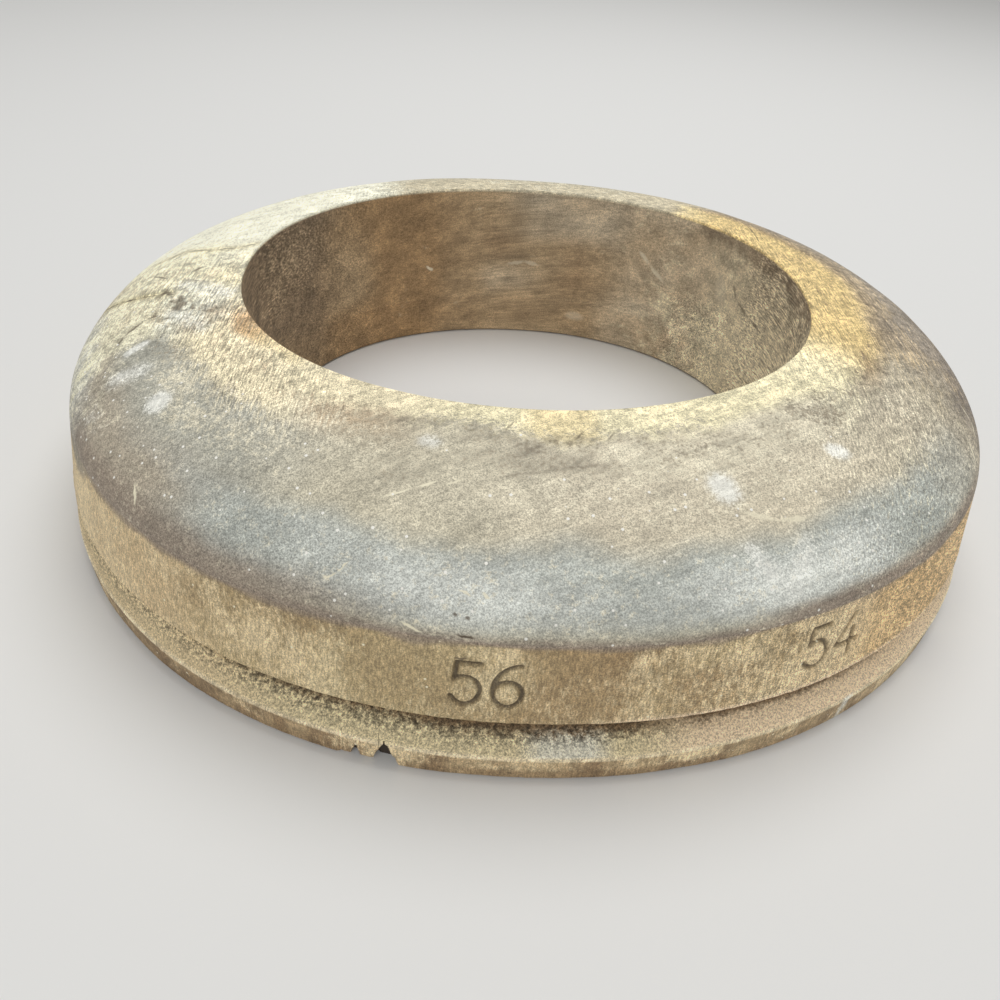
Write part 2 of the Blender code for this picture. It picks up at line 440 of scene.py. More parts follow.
class Board:
    """The grid of one board: a row for each row of the section, a column for each angle."""

    def __init__(self, rows, ends_of_row, spacing, zones, joint_axis):
        self.rows = rows
        self.joint_axis = joint_axis
        start, stop = ends_of_row(rows[len(rows) // 3])
        turns = column_turns(start, stop, spacing, zones)
        shares = (turns - start) / (stop - start)
        grid = []
        bearings = []
        for row in rows:
            row_start, row_stop = ends_of_row(row)
            row_turns = row_start + shares * (row_stop - row_start)
            x, y = on_oval(row["ends"], row["sides"], row["shift"], row_turns)
            grid.append(np.stack([x, y, np.full(x.shape, row["height"])], -1))
            bearings.append(np.degrees(row_turns))
        self.points = np.array(grid)
        self.bearings = (np.array(bearings) + 180) % 360 - 180
        self.out = np.broadcast_to(np.array([row["out"] for row in rows])[:, None], self.points.shape[:2])
        self.height = self.points[..., 2].copy()
        self.regions = np.array([row["region"] for row in rows])
        self.rest = self.points.copy()
        self.marks = np.zeros(self.points.shape[:2])

    def within(self, *regions):
        """1 on the rows of these surfaces and 0 elsewhere."""
        chosen = np.isin(self.regions, regions).astype(float)
        return np.broadcast_to(chosen[:, None], self.points.shape[:2])

    def normals(self):
        """Outward directions of the surface."""
        along_rows = np.roll(self.points, -1, 0) - np.roll(self.points, 1, 0)
        along_columns = np.gradient(self.points, axis=1)
        normals = np.cross(along_columns, along_rows)
        lengths = np.linalg.norm(normals, axis=-1, keepdims=True)
        return normals / np.maximum(lengths, 1e-9)

    def push(self, amount):
        """Move the surface outwards by this many millimetres, keeping its ends in the joints."""
        moved = self.points + self.normals() * amount[..., None]
        at_layer_joint = np.abs(self.rest[:, 0, 2] - LAYER_JOINT) < 0.1
        moved[at_layer_joint, :, 2] = self.rest[at_layer_joint, :, 2]
        moved[:, 0, self.joint_axis] = self.rest[:, 0, self.joint_axis]
        moved[:, -1, self.joint_axis] = self.rest[:, -1, self.joint_axis]
        self.points = moved

    def slide(self, axis, amount):
        """Move the surface along one axis by this many millimetres."""
        moved = self.points.copy()
        moved[..., axis] += amount
        self.points = moved


def face_materials(board):
    """Which material each face of the grid has."""
    of_row = np.array([MATERIAL_OF[region] for region in board.regions])
    of_face = np.repeat(of_row[:, None], board.points.shape[1] - 1, 1)
    on_brim = np.isin(board.regions, ("brim", "rim"))[:, None]
    of_face[on_brim & (board.rest[:, :-1, 0] < LEFT_END_X)] = LEFT_END
    return of_face.ravel().tolist()


def board_mesh(board, name):
    """The mesh of a board: its grid, closed round the section, and its two sawn ends."""
    row_count, column_count = board.points.shape[:2]
    rows = np.arange(row_count)
    columns = np.arange(column_count - 1)
    here = rows[:, None] * column_count + columns[None]
    above = ((rows + 1) % row_count)[:, None] * column_count + columns[None]
    quads = np.stack([here, here + 1, above + 1, above], -1).reshape(-1, 4)
    first_end = [int(row * column_count) for row in rows]
    last_end = [int(row * column_count + column_count - 1) for row in reversed(rows)]
    mesh = bpy.data.meshes.new(name)
    points = (board.points * METRES).reshape(-1, 3)
    mesh.from_pydata(points.tolist(), [], quads.tolist() + [first_end, last_end])
    mesh.polygons.foreach_set("material_index", face_materials(board) + [SAWN, SAWN])
    return mesh


def add_tones(mesh, tones):
    """Give the points of a mesh their colours and levels."""
    for label, values in tones.items():
        if values.ndim == 3:
            layer = mesh.attributes.new(label, "FLOAT_COLOR", "POINT")
            with_alpha = np.concatenate([values, np.ones(values.shape[:2] + (1,))], -1)
            layer.data.foreach_set("color", with_alpha.astype(np.float32).ravel())
        else:
            layer = mesh.attributes.new(label, "FLOAT", "POINT")
            layer.data.foreach_set("value", values.astype(np.float32).ravel())


def face_outwards(mesh):
    """Part the two sawn ends into triangles and turn all faces outwards."""
    solid = bmesh.new()
    solid.from_mesh(mesh)
    ends = [face for face in solid.faces if len(face.verts) > 4]
    bmesh.ops.triangulate(solid, faces=ends)
    if solid.calc_volume(signed=True) < 0:
        bmesh.ops.reverse_faces(solid, faces=solid.faces)
    solid.to_mesh(mesh)
    solid.free()


def cover(board, name, node, materials, tones):
    """Let the worn surface of a board, with its colours, stand for its solid."""
    mesh = board_mesh(board, name)
    for material in materials:
        mesh.materials.append(material)
    add_tones(mesh, tones)
    face_outwards(mesh)
    mesh.shade_smooth()
    mesh.set_sharp_from_angle(angle=math.radians(SMOOTH_BELOW))
    piece = bpy.data.objects.new(name, mesh)
    bpy.context.scene.collection.objects.link(piece)
    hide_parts(node)
    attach(piece, "root")


# Strokes of the digits, as (across, up)


def arc_points(middle_x, middle_y, radius_x, radius_y, start, stop):
    """Points along an oval arc, angles in degrees."""
    angles = np.radians(np.linspace(start, stop, 16))
    return [(middle_x + radius_x * math.cos(a), middle_y + radius_y * math.sin(a)) for a in angles]


def digit_strokes(digit):
    """The strokes of a plain stamped digit."""
    if digit == "4":
        return [[(0.42, 1.0), (0.03, 0.32)], [(0.03, 0.32), (0.62, 0.32)], [(0.44, 0.66), (0.44, 0.0)]]
    if digit == "5":
        bowl = arc_points(0.29, 0.33, 0.28, 0.33, 132, -150)
        return [[(0.56, 0.98), (0.14, 0.98)], [(0.14, 0.98), (0.10, 0.58)], bowl]
    curl = arc_points(0.56, 0.36, 0.52, 0.63, 96, 180)
    ring = arc_points(0.31, 0.30, 0.27, 0.30, 0, 360)
    return [curl, ring]


def distance_to_line(points, path):
    """How far each point is from a line of straight steps."""
    nearest = np.full(points.shape[:-1], FAR)
    for start, stop in zip(path, path[1:]):
        start = np.asarray(start, float)
        step = np.asarray(stop, float) - start
        share = np.clip((points - start) @ step / (step @ step + 1e-12), 0, 1)
        gap = np.linalg.norm(points - start - share[..., None] * step, axis=-1)
        nearest = np.minimum(nearest, gap)
    return nearest


def mark_distance(board):
    """How far each wall point is from the strokes of the number marks."""
    nearest = np.full(board.points.shape[:2], FAR)
    x = board.rest[..., 0]
    y = board.rest[..., 1]
    steps = np.hypot(np.gradient(x, axis=1), np.gradient(y, axis=1))
    along = np.cumsum(steps, axis=1)
    for text, middle_x, bottom, size in MARKS:
        row = np.argmin(np.abs(board.height[:, 0] - bottom) + FAR * (board.regions != "wall"))
        front = np.where(y[row] < 0, np.abs(x[row] - middle_x), FAR)
        start = along[:, np.argmin(front)][:, None]
        across = (along - start) / size + MIDDLE_OF_MARK
        up = (board.height - bottom) / size
        close = (board.within("wall") > 0) & (np.abs(across - MIDDLE_OF_MARK) < 1.2) & (y < 0)
        places = np.stack([across[close], up[close]], -1)
        for place, digit in enumerate(text):
            for path in digit_strokes(digit):
                moved = [(px + place * DIGIT_STEP, py) for px, py in path]
                nearest[close] = np.minimum(nearest[close], distance_to_line(places, moved) * size)
    return nearest


def smudge(board, region, places, width, strength=1.0):
    """A soft mark this wide along a line over a surface."""
    away = distance_to_line(board.rest, path_on(region, *places))
    return strength * np.exp(-(away / width) ** 2)


def swell(points):
    """Slow unevenness of the hand-worked surface, always a little below its flawless shape."""
    return 0.22 * noise(points, 38, 3) + 0.1 * noise(points, 14, 5) - 0.3


def carve_brim(board):
    """The shape that hands and years gave the upper layer."""
    points = board.rest
    board.push(swell(points) * board.within("brim", "wall", "bore", "rim"))
    fibres = rough_noise(points, 1.5, 15) * ease(np.abs(board.bearings), 60, 90)
    board.push((0.22 * fibres - 0.1) * board.within("rim") * (board.bearings > 0))
    cracks = smudge(board, "brim", CRACK_BACK, 0.7, 0.25) + smudge(board, "brim", CRACK_FRONT, 0.8, 0.25)
    ridges = rough_noise(points, (1.3, 5.0, 1.3), 71)
    torn = smudge(board, "brim", TORN_GRAIN, 4.0) * np.clip(0.15 + 0.75 * ridges, 0, 1)
    board.push(-(cracks + torn) * board.within("brim"))
    gaps = mark_distance(board)
    cut = 1 - ease(gaps, STROKE_FLOOR, STROKE_MOUTH)
    burr = np.exp(-((gaps - BURR_AT) / BURR_WIDTH) ** 2)
    board.push((BURR_HEIGHT * burr - STROKE_DEPTH * cut) * board.within("wall"))
    foot = board.within("wall") * (1 - ease(board.height, 18.2, 19.2))
    board.push(0.16 * rough_noise(points, 1.5, 17) * foot)
    # The strokes get painted shade from the wall material
    board.marks = cut


def lip_breaks(board):
    """How deep the lip is broken: a wedge at the joint, a notch beside it and a chipped lower edge."""
    x = board.rest[..., 0]
    height = np.clip(board.height, 0, LIP_HEIGHT)
    ragged = 0.35 * noise(board.rest, 1.6, 81)
    half = WEDGE_HALF * (1 - height / (LIP_HEIGHT + 0.1)) ** 0.85
    wedge = 1 - ease(np.abs(x - WEDGE_X + ragged), half - 0.12, half + 0.12)
    half = NOTCH_HALF * (1 - height / NOTCH_HEIGHT)
    notch = 1 - ease(np.abs(x - NOTCH_X + ragged), half - 0.1, half + 0.25)
    notch = notch * (height < NOTCH_HEIGHT)
    chipped = between(x, *CHIPPED_X, 0.6) * (1 - ease(height + ragged, 0.9, 1.7))
    lip = board.within("lip") * (board.rest[..., 1] < 0)
    # The wedge and the notch are painted dark as painted shade
    board.marks = np.maximum(1.6 * wedge, 1.4 * notch) * lip
    return (WEDGE_DEPTH * wedge + NOTCH_DEPTH * notch + CHIP_DEPTH * chipped) * lip


def carve_base(board):
    """Rough end grain on the groove floor, and the worn lip with its breaks."""
    points = board.rest
    floor_rows = board.within("floor")
    filled = ease(np.abs(board.bearings), 112, 134)
    full = LIP_HEIGHT + (BASE_TOP - LIP_HEIGHT) * np.minimum(1, board.out / 0.45)
    board.slide(2, floor_rows * filled * (full - board.height))
    crumbly = between(board.bearings, -168, -76, 10) * ease(board.out, 0.1, 0.5)
    rough = (0.12 + 0.38 * crumbly) * rough_noise(points, 1.2, 21)
    board.push((rough - 0.28) * floor_rows)
    lip_rows = board.within("lip")
    board.push((0.15 * noise(points, 17, 9) + 0.05 * rough_noise(points, 2.0, 23) - 0.2) * lip_rows)
    board.push(swell(points) * board.within("bore"))
    tuft = np.exp(-(np.linalg.norm(points - np.array(TUFT), axis=-1) / TUFT_SIZE) ** 2)
    board.push(TUFT_SIZE * tuft * floor_rows)
    board.slide(1, lip_breaks(board))


# Wood colours


def colour(red, green, blue):
    """A colour as an array."""
    return np.array([red, green, blue])


CREAM = colour(0.955, 0.87, 0.575)
PALE_YELLOW = colour(0.90, 0.80, 0.55)
GOLD = colour(0.87, 0.66, 0.30)
AMBER_STAIN = colour(0.84, 0.62, 0.27)
ORANGE_STAIN = colour(0.64, 0.40, 0.20)
BLEACHED = colour(0.99, 0.97, 0.79)
PALE_CREAM = colour(0.97, 0.925, 0.68)
WARM_GREY = colour(0.58, 0.53, 0.40)
COOL_GREY = colour(0.45, 0.44, 0.37)
PALE_BEIGE = colour(0.86, 0.79, 0.60)
ROSE_GREY = colour(0.64, 0.57, 0.43)
# Blue-grey tint of a painted reflection on the brim's outer curve
REFLECTED_BLUE_GREY = colour(0.475, 0.495, 0.45)
WARM_BROWN = colour(0.50, 0.40, 0.27)
# Painted sheen: a highlight painted on the brim's outer curve
PAINTED_SHEEN = colour(0.68, 0.70, 0.65)
# Chalky white of rubbed and fresh wood, also laid as a painted glint in the sheen
CHALK_WHITE_AND_GLINT = colour(0.86, 0.88, 0.81)
LEFT_BROWN = colour(0.43, 0.375, 0.29)
BROWN_GREY = colour(0.32, 0.255, 0.175)
PURPLE_GREY = colour(0.41, 0.36, 0.30)
UMBER = colour(0.26, 0.22, 0.18)
EDGE_BROWN = colour(0.33, 0.265, 0.205)
BACK_BEIGE = colour(0.70, 0.62, 0.44)
GOLD_SHADE = colour(0.45, 0.32, 0.172)
RIGHT_GREY = colour(0.50, 0.44, 0.33)
TAN_WARM = colour(0.74, 0.56, 0.33)
TAN = colour(0.54, 0.42, 0.23)
TAN_LIGHT = colour(0.84, 0.68, 0.42)
TAN_BROWN = colour(0.38, 0.27, 0.14)
RUSSET = colour(0.34, 0.215, 0.105)
OLIVE_PALE = colour(0.70, 0.61, 0.37)
AMBER = colour(0.80, 0.55, 0.27)
BORE_DARK = colour(0.27, 0.20, 0.13)
BORE_PURPLE = colour(0.36, 0.28, 0.19)
BORE_BROWN = colour(0.41, 0.29, 0.165)
BORE_RUST = colour(0.40, 0.255, 0.125)
BORE_GOLD = colour(0.66, 0.52, 0.34)
BORE_TAN = colour(0.56, 0.43, 0.27)
BORE_GREY = colour(0.63, 0.535, 0.375)
BORE_PALE = colour(0.80, 0.71, 0.50)
FUZZ = colour(0.93, 0.79, 0.49)
PINKISH = colour(0.86, 0.67, 0.46)
LIP_TAN = colour(0.56, 0.42, 0.24)
LIP_BROWN = colour(0.32, 0.215, 0.115)
LIP_EDGE = colour(0.94, 0.80, 0.54)
LEFT_TAN = colour(0.66, 0.58, 0.41)
OLIVE_STAIN = colour(0.42, 0.36, 0.20)
LIGHT_BROWN = colour(0.79, 0.62, 0.39)
BORE_MID = colour(0.62, 0.52, 0.375)
BORE_REDDISH = colour(0.35, 0.235, 0.13)


class Painter:
    """Lays colours over a board, patch by patch."""

    def __init__(self, board, tone, bearings=None):
        self.board = board
        self.bearings = board.bearings if bearings is None else bearings
        self.tone = np.ones(board.points.shape) * tone

    def lay(self, new_colour, mask):
        """Lay a colour where the mask is."""
        share = np.clip(mask, 0, 1)[..., None]
        self.tone = self.tone * (1 - share) + new_colour * share

    def arc(self, new_colour, low, high, soft, strength=1.0):
        """Lay a colour between two bearings."""
        self.lay(new_colour, between(self.bearings, low, high, soft) * strength)

    def patch(self, new_colour, bearings, outs, soft_bearing=9.0, soft_out=0.05, strength=1.0):
        """Lay a colour on a soft-edged patch."""
        self.lay(new_colour, strength * patch(self.board, bearings, outs, soft_bearing, soft_out))


def patch(board, bearings, outs, soft_bearing=9.0, soft_out=0.05):
    """A soft-edged patch between two bearings and two distances out: 0 at the rim, 1 at the wall."""
    low, high = bearings
    middle = (low + high) / 2
    half = (high - low) / 2
    turned = (board.bearings + board.wander - middle + 180) % 360 - 180
    across = between(turned, -half, half, soft_bearing)
    return across * between(board.out + board.drift, outs[0], outs[1], soft_out)


def prepare_edges(board):
    """Waver that keeps the edges of the patches from being straight."""
    board.wander = 4 * noise(board.rest, 26, 31) + 2 * noise(board.rest, 9, 32)
    steady = 1 - 0.85 * ease(board.out, 0.78, 0.95) * board.within("brim")
    board.drift = (0.04 * noise(board.rest, 19, 33) + 0.02 * noise(board.rest, 6, 34)) * steady


def brim_deep(board):
    """The weathered tone of the brim under its worn places, with a painted sheen and a painted blue-grey
    reflection on its outer curve.
    """
    paint = Painter(board, WARM_GREY)
    # Colour, bearings, outs, softness in degrees and in out, strength
    patches = (
        (COOL_GREY, (-168, -120), (0.28, 0.85), 12, 0.1),
        (WARM_BROWN, (-160, -108), (INNER, 0.30), 7, 0.08),
        (LEFT_BROWN, (-164, -128), (0.64, 0.95), 8, 0.09, 0.85),
        (ROSE_GREY, (-94, -46), (0.16, 0.66), 9, 0.08),
        (BROWN_GREY, (-22, 45), (0.30, OUTER), 9, 0.08),
        (RIGHT_GREY, (-46, -22), (0.30, OUTER), 8, 0.1),
        (GOLD_SHADE, (-34, 50), (INNER, 0.34), 9, 0.07),
        # Painted reflection: a blue-grey band, bright painted sheen and a white painted glint where the brim
        # curves down at the front
        (REFLECTED_BLUE_GREY, (-140, -36), (0.66, 0.94), 10, 0.07),
        (PAINTED_SHEEN, (-106, -61), (0.79, 0.93), 8, 0.06, 0.45),
        (PAINTED_SHEEN, (-111, -93), (0.73, 0.92), 8, 0.08),
        (PAINTED_SHEEN, (-77, -56), (0.75, 0.93), 5, 0.05),
        (CHALK_WHITE_AND_GLINT, (-72, -62), (0.78, 0.90), 4, 0.05, 0.4),
        (LEFT_BROWN, (-162, -130), (0.70, OUTER), 8, 0.08),
        (EDGE_BROWN, (-158, -110), (0.88, OUTER), 9, 0.06, 0.85),
        (EDGE_BROWN, (-146, -28), (0.98, OUTER), 10, 0.018),
        (EDGE_BROWN, (-69, -33), (0.93, OUTER), 5, 0.03),
        (PURPLE_GREY, (-18, 60), (0.45, OUTER), 9, 0.07, 0.7),
        (UMBER, (-26, 10), (0.72, OUTER), 8, 0.07),
        (BACK_BEIGE, (50, 125), (INNER, OUTER), 10),
        (WARM_GREY, (60, 118), (0.3, OUTER), 10, 0.1, 0.7),
        (BLEACHED * 0.9, (122, 184), (INNER, OUTER), 9),
        (COOL_GREY, (139, 150), (0.18, 0.46), 5, 0.08, 0.45),
        (LEFT_TAN, (172, 200), (0.02, OUTER), 5, 0.08),
        (BLEACHED * 0.9, (184, 197), (0.04, 0.34), 5, 0.05, 0.6),
        # Painted sheen on the outer curve of the left end
        (PAINTED_SHEEN, (186, 206), (0.76, OUTER), 6, 0.06, 0.7),
    )
    for row in patches:
        paint.patch(*row)
    joint = smudge(board, "brim", STAINED_JOINT, 2.2, 0.9) + smudge(board, "brim", CRACK_BACK, 2.4, 0.8)
    paint.lay(OLIVE_STAIN, joint * board.within("brim"))
    return paint.tone


def brim_worn(board):
    """The bright tone where the brim is rubbed clean."""
    paint = Painter(board, CREAM)
    # Colour, bearings, outs, softness in degrees and in out, strength
    patches = (
        (PALE_YELLOW, (-172, -104), (INNER, OUTER), 10),
        (PALE_BEIGE, (-126, -44), (0.19, OUTER), 8, 0.05),
        (PALE_BEIGE * 0.95, (-158, -118), (0.36, OUTER), 8, 0.07),
        (GOLD, (-30, 48), (INNER, OUTER), 10),
        (PALE_BEIGE * 0.93, (-44, -24), (0.34, OUTER), 7, 0.08),
        (LIGHT_BROWN, (-24, 50), (0.32, OUTER), 8, 0.08),
        (AMBER_STAIN, (-94, -85), (-0.02, 0.19), 2, 0.04, 0.4),
        (BLEACHED, (60, 176), (INNER, OUTER), 10),
        (PALE_CREAM, (170, 206), (0.20, OUTER), 6),
        (CHALK_WHITE_AND_GLINT, (190, 202), (0.1, 0.4), 5, 0.05, 0.6),
        (ORANGE_STAIN, (-160, -146), (INNER, 0.09), 4, 0.03, 0.85),
        (ORANGE_STAIN, (-165, -160), (0.08, 0.18), 2, 0.03, 0.5),
        (GOLD, (-150, -134), (INNER, 0.07), 5, 0.03, 0.35),
    )
    for row in patches:
        paint.patch(*row)
    stain = smudge(board, "brim", CRACK_BACK, 2.6, 0.55) + smudge(board, "brim", STAINED_JOINT, 2.0, 0.5)
    paint.lay(OLIVE_STAIN * 1.5, stain * board.within("brim"))
    return paint.tone


def brim_share(board):
    """How much of the brim is rubbed clean, from 0 to 1."""
    share = np.full(board.points.shape[:2], 0.20)
    # Bearings, outs and the share there
    plans = (
        ((-158, -122), (INNER, 0.36), 0.67),
        ((-134, -104), (INNER, 0.15), 0.80),
        ((-136, -106), (0.15, 0.42), 0.42),
        ((-108, -94), (INNER, 0.10), 0.95),
        ((-95, -56), (INNER, 0.14), 0.98),
        ((-93, -86), (INNER, 0.27), 0.8),
        ((-64, -22), (INNER, 0.24), 0.98),
        ((-26, 22), (INNER, 0.34), 0.78),
        ((16, 50), (INNER, 0.28), 0.74),
        ((-24, 34), (0.2, 0.56), 0.44),
        ((-84, -42), (0.16, 0.40), 0.66),
        ((-110, -84), (0.2, 0.55), 0.34),
        ((-150, -124), (0.34, 0.55), 0.48),
        ((-150, -128), (INNER, 0.10), 0.88),
        ((-84, -50), (0.35, 0.60), 0.36),
        ((-46, -24), (0.35, 0.70), 0.38),
        ((120, 178), (INNER, OUTER), 0.85),
        ((176, 205), (INNER, 1.0), 0.52),
    )
    for bearings, outs, level in plans:
        mask = patch(board, bearings, outs, 7, 0.07)
        share = share * (1 - mask) + np.maximum(share, level) * mask
    lively = ease(np.abs(board.bearings + 90), 38, 70)
    uneven = (0.12 + 0.16 * lively) * rough_noise(board.rest, 9, 35)
    at_rim = 1 - ease(board.out, 0.03, 0.12)
    return share + uneven * (1 - 0.8 * at_rim)


def wall_tones(board):
    """Deep tone, worn tone and worn share of the wall."""
    bearings = board.bearings + board.wander
    deep = Painter(board, TAN, bearings)
    deep.lay(TAN_BROWN, 0.20 + 0.8 * noise(board.rest, (20, 20, 8), 41))
    low = 1 - ease(board.height, 28, 36)
    deep.arc(TAN_WARM * 0.98, -172, -126, 7, 0.7)
    deep.arc(RUSSET, -94, -82, 3, 0.6)
    deep.arc(RUSSET, -80, -70, 3, low * 0.6)
    deep.arc(TAN_BROWN, -70, -66, 2, 0.6)
    deep.arc(TAN_WARM, -66, -59, 2, 0.85)
    deep.arc(AMBER * 0.8, -59, -30, 3, 0.9)
    worn = Painter(board, TAN_LIGHT, bearings)
    worn.arc(OLIVE_PALE, -112, -96, 4, 0.35)
    worn.arc(AMBER * 1.15, -60, -30, 4, 0.7)
    share = 0.46 + 0.24 * noise(board.rest, 15, 42) + 0.22 * rough_noise(board.rest, (6, 6, 9), 43)
    share += 0.10 * between(bearings, -82, -60, 4) + 0.16 * between(bearings, -178, -134, 6)
    share = share - 0.20 * between(bearings, -94, -83, 3) - 0.18 * between(bearings, -80, -70, 3) * low
    far_left = 1 - ease(board.bearings, -151, -141)
    chipped = np.exp(-((board.rest[..., 0] + 28) / 9) ** 2)
    reach = (2.8 + 9.5 * far_left + 2.5 * chipped) * (0.7 + 0.6 * noise(board.rest, (9, 9, 4), 44))
    top_edge = ease(board.height, WALL_TOP - reach, WALL_TOP - 0.3 * reach)
    top_edge = top_edge * between(board.bearings, -173, 6, 6)
    top_edge = top_edge * (1 - 0.6 * between(bearings, -70, -50, 3))
    deep.lay(EDGE_BROWN, 0.85 * top_edge * (1 - far_left))
    deep.lay(LEFT_BROWN * 0.85, top_edge * far_left)
    foot = (1 - ease(board.height, 18.3, 19.0)) * ease(board.bearings, -90, -80)
    deep.lay(PINKISH, foot)
    worn.lay(PINKISH, foot)
    return deep.tone, worn.tone, share * (1 - 0.75 * top_edge)


def bore_tones(board):
    """Deep tone, worn tone and worn share of the bore: the wood's own colours, painted darker as painted
    shade inside the opening.
    """
    bearings = (board.bearings + 90) % 360 - 90 + 4 * noise(board.rest, 16, 50)
    height = board.height
    deep = Painter(board, BORE_BROWN, bearings)
    low = 1 - ease(height, 10, 34)
    below_rim = 1 - ease(height, 40, 56)
    deep.arc(BORE_DARK, 142, 230, 7, 0.9 - 0.5 * low)
    deep.arc(BORE_TAN, 128, 142, 5, ease(height, 16, 26) * below_rim * 0.45)
    deep.arc(BORE_RUST, 104, 131, 7, 0.75)
    deep.arc(BORE_RUST, 112, 146, 6, (1 - ease(height, 14, 26)) * 0.6)
    wisps = noise(board.rest, (26, 26, 9), 51)
    deep.arc(BORE_TAN, 28, 104, 10, 0.42 + 0.35 * wisps)
    clouds = rough_noise(board.rest, (18, 18, 11), 55)
    deep.arc(BORE_MID, 22, 62, 6, 0.66 + 0.5 * clouds)
    deep.arc(BORE_MID, 60, 90, 6, ease(height, 41, 52) * (0.85 + 0.5 * wisps))
    deep.arc(BORE_MID, 84, 99, 4, between(height, 20, 34, 4) * (0.35 + 0.6 * wisps))
    deep.arc(BORE_REDDISH, 70, 78, 5, between(height, 22, 42, 7) * 0.6)
    deep.arc(BORE_REDDISH, 90, 98, 4, between(height, 38, 48, 5) * 0.6)
    deep.arc(BORE_GREY, -40, 34, 8)
    deep.arc(BORE_PURPLE, -50, 24, 6, ease(height, 42, 54) * 0.5)
    ragged = height + 5 * rough_noise(board.rest, (2.2, 2.2, 7), 54)
    fringe = between(bearings, -20, 41, 2) * ease(ragged, 57, 64)
    deep.lay(BORE_DARK, fringe * 0.7)
    dark_rim = between(bearings, 136, 180, 6) * ease(ragged, 56, 63)
    deep.lay(BORE_DARK * 0.85, dark_rim * 0.8)
    worn = Painter(board, BORE_PALE, bearings)
    worn.arc(BORE_GOLD, 104, 250, 8)
    share = 0.02 + 0.10 * noise(board.rest, 13, 52)
    share += 0.22 * between(bearings, 26, 60, 8) * (0.8 + 0.6 * noise(board.rest, 12, 53))
    share += 0.34 * between(bearings, 24, 52, 7) * (1 - ease(height, 26, 38))
    share += 0.10 * between(bearings, 104, 134, 8) * between(height, 0, 30, 8)
    share += 0.28 * between(bearings, 140, 176, 8) * ease(height, 22, 44)
    share += 0.52 * between(bearings, -40, 28, 8) * (1 - 0.2 * ease(height, 34, 50))
    share = share * (1 - 0.5 * np.maximum(fringe, 0.6 * dark_rim))
    return deep.tone, worn.tone, share


def brim_chalk(board):
    """White rubbed spots and smears on the brim, and a painted sheen on its outer curve at the front."""
    # A line, its half width and its strength
    marks = (
        (((-143.2, 0.565), (-143.4, 0.55)), 3.6, 1.25),
        (((-153.4, 0.65), (-151.7, 0.545)), 5.0, 0.62),
        (((-72.0, 0.44), (-71.8, 0.47)), 4.2, 1.0),
        (((-53.8, 0.44), (-52.9, 0.46)), 2.8, 1.0),
        (((-105.8, 0.25), (-104.8, 0.25)), 3.0, 0.7),
        # Painted sheen: three bright streaks on the outer curve at the front
        (((-72.3, 0.70), (-71.1, 0.80)), 2.6, 0.5),
        (((-66.0, 0.74), (-69.5, 0.88)), 4.0, 0.42),
        (((-61.0, 0.74), (-63.5, 0.86)), 3.0, 0.30),
        (((-163.9, 0.33), (-155.1, 0.22)), 4.4, 0.50),
        (((-173.5, 0.30), (-167.0, 0.08)), 6.0, 0.55),
        (((-157.7, 0.57), (-158.1, 0.49)), 1.8, 1.15),
    )
    chalk = sum(smudge(board, "brim", places, width, strength) for places, width, strength in marks)
    lumps = np.clip(0.5 + 0.7 * rough_noise(board.rest, 2.2, 36), 0, 1)
    chalk += 0.5 * lumps * patch(board, (-161, -147), (0.72, 0.92), 3, 0.05)
    # The faint wide patch is painted sheen over the outer curve at the front.
    return chalk + 0.18 * patch(board, (-108, -60), (0.60, 0.95), 8, 0.08)


def brim_dirt(board):
    """Dark smudges and soft dark lines on the brim that are wide enough for the mesh."""
    # A line, its half width and its strength
    marks = (
        (((178.6, 0.565), (-172.5, 0.20)), 1.5, 0.5),
        (((-165.0, 0.50), (-163.0, 0.62)), 1.8, 0.5),
        (((-158.0, 0.47), (-151.0, 0.40)), 4.0, 0.36),
        (((-112.5, 0.50), (-104.5, 0.40)), 2.0, 0.20),
        (((-110.0, 0.14), (-96.8, 0.16)), 2.0, 0.28),
        (((-93.0, 0.24), (-87.0, 0.18)), 2.4, 0.30),
    )
    dirt = sum(smudge(board, "brim", places, width, strength) for places, width, strength in marks)
    broken = np.clip(0.50 + 1.3 * rough_noise(board.rest, (1.4, 4.2, 1.4), 38), 0, 1.2)
    torn = smudge(board, "brim", ((-172.6, 0.40), (-170.3, 0.34), (-167.0, 0.30)), 4.4)
    torn += 0.8 * smudge(board, "brim", ((-165.5, 0.29), (-163.5, 0.24), (-160.5, 0.14)), 2.8)
    dirt += 1.2 * broken * torn
    lumps = np.clip(0.42 + 0.8 * rough_noise(board.rest, (7.0, 3.5, 3.5), 37), 0, 0.85)
    # Bearings, outs and strength
    plans = (
        ((-98, -46), (0.17, 0.37), OUTER),
        ((-50, -26), (0.16, 0.36), 1.0),
        ((-26, 40), (0.22, 0.95), 0.75),
        ((-160, -134), (0.04, 0.40), 0.52),
        ((-122, -98), (0.14, 0.45), 0.60),
    )
    for bearings, outs, level in plans:
        dirt += np.minimum(level * lumps, 0.56) * patch(board, bearings, outs, 6, 0.06)
    return dirt


def put_on(board, regions, tones, others):
    """Deep tone, worn tone and worn share, with the others in their stead on these surfaces."""
    chosen = board.within(*regions) > 0
    deep = np.where(chosen[..., None], others[0], tones[0])
    worn = np.where(chosen[..., None], others[1], tones[1])
    return deep, worn, np.where(chosen, others[2], tones[2])


def named_tones(board, tones, **others):
    """Colours and levels of a board by the names that its materials read."""
    named = dict(zip(("deep_tone", "worn_tone", "worn"), tones))
    named.update(others)
    named.update(grain_shares(board))
    return named


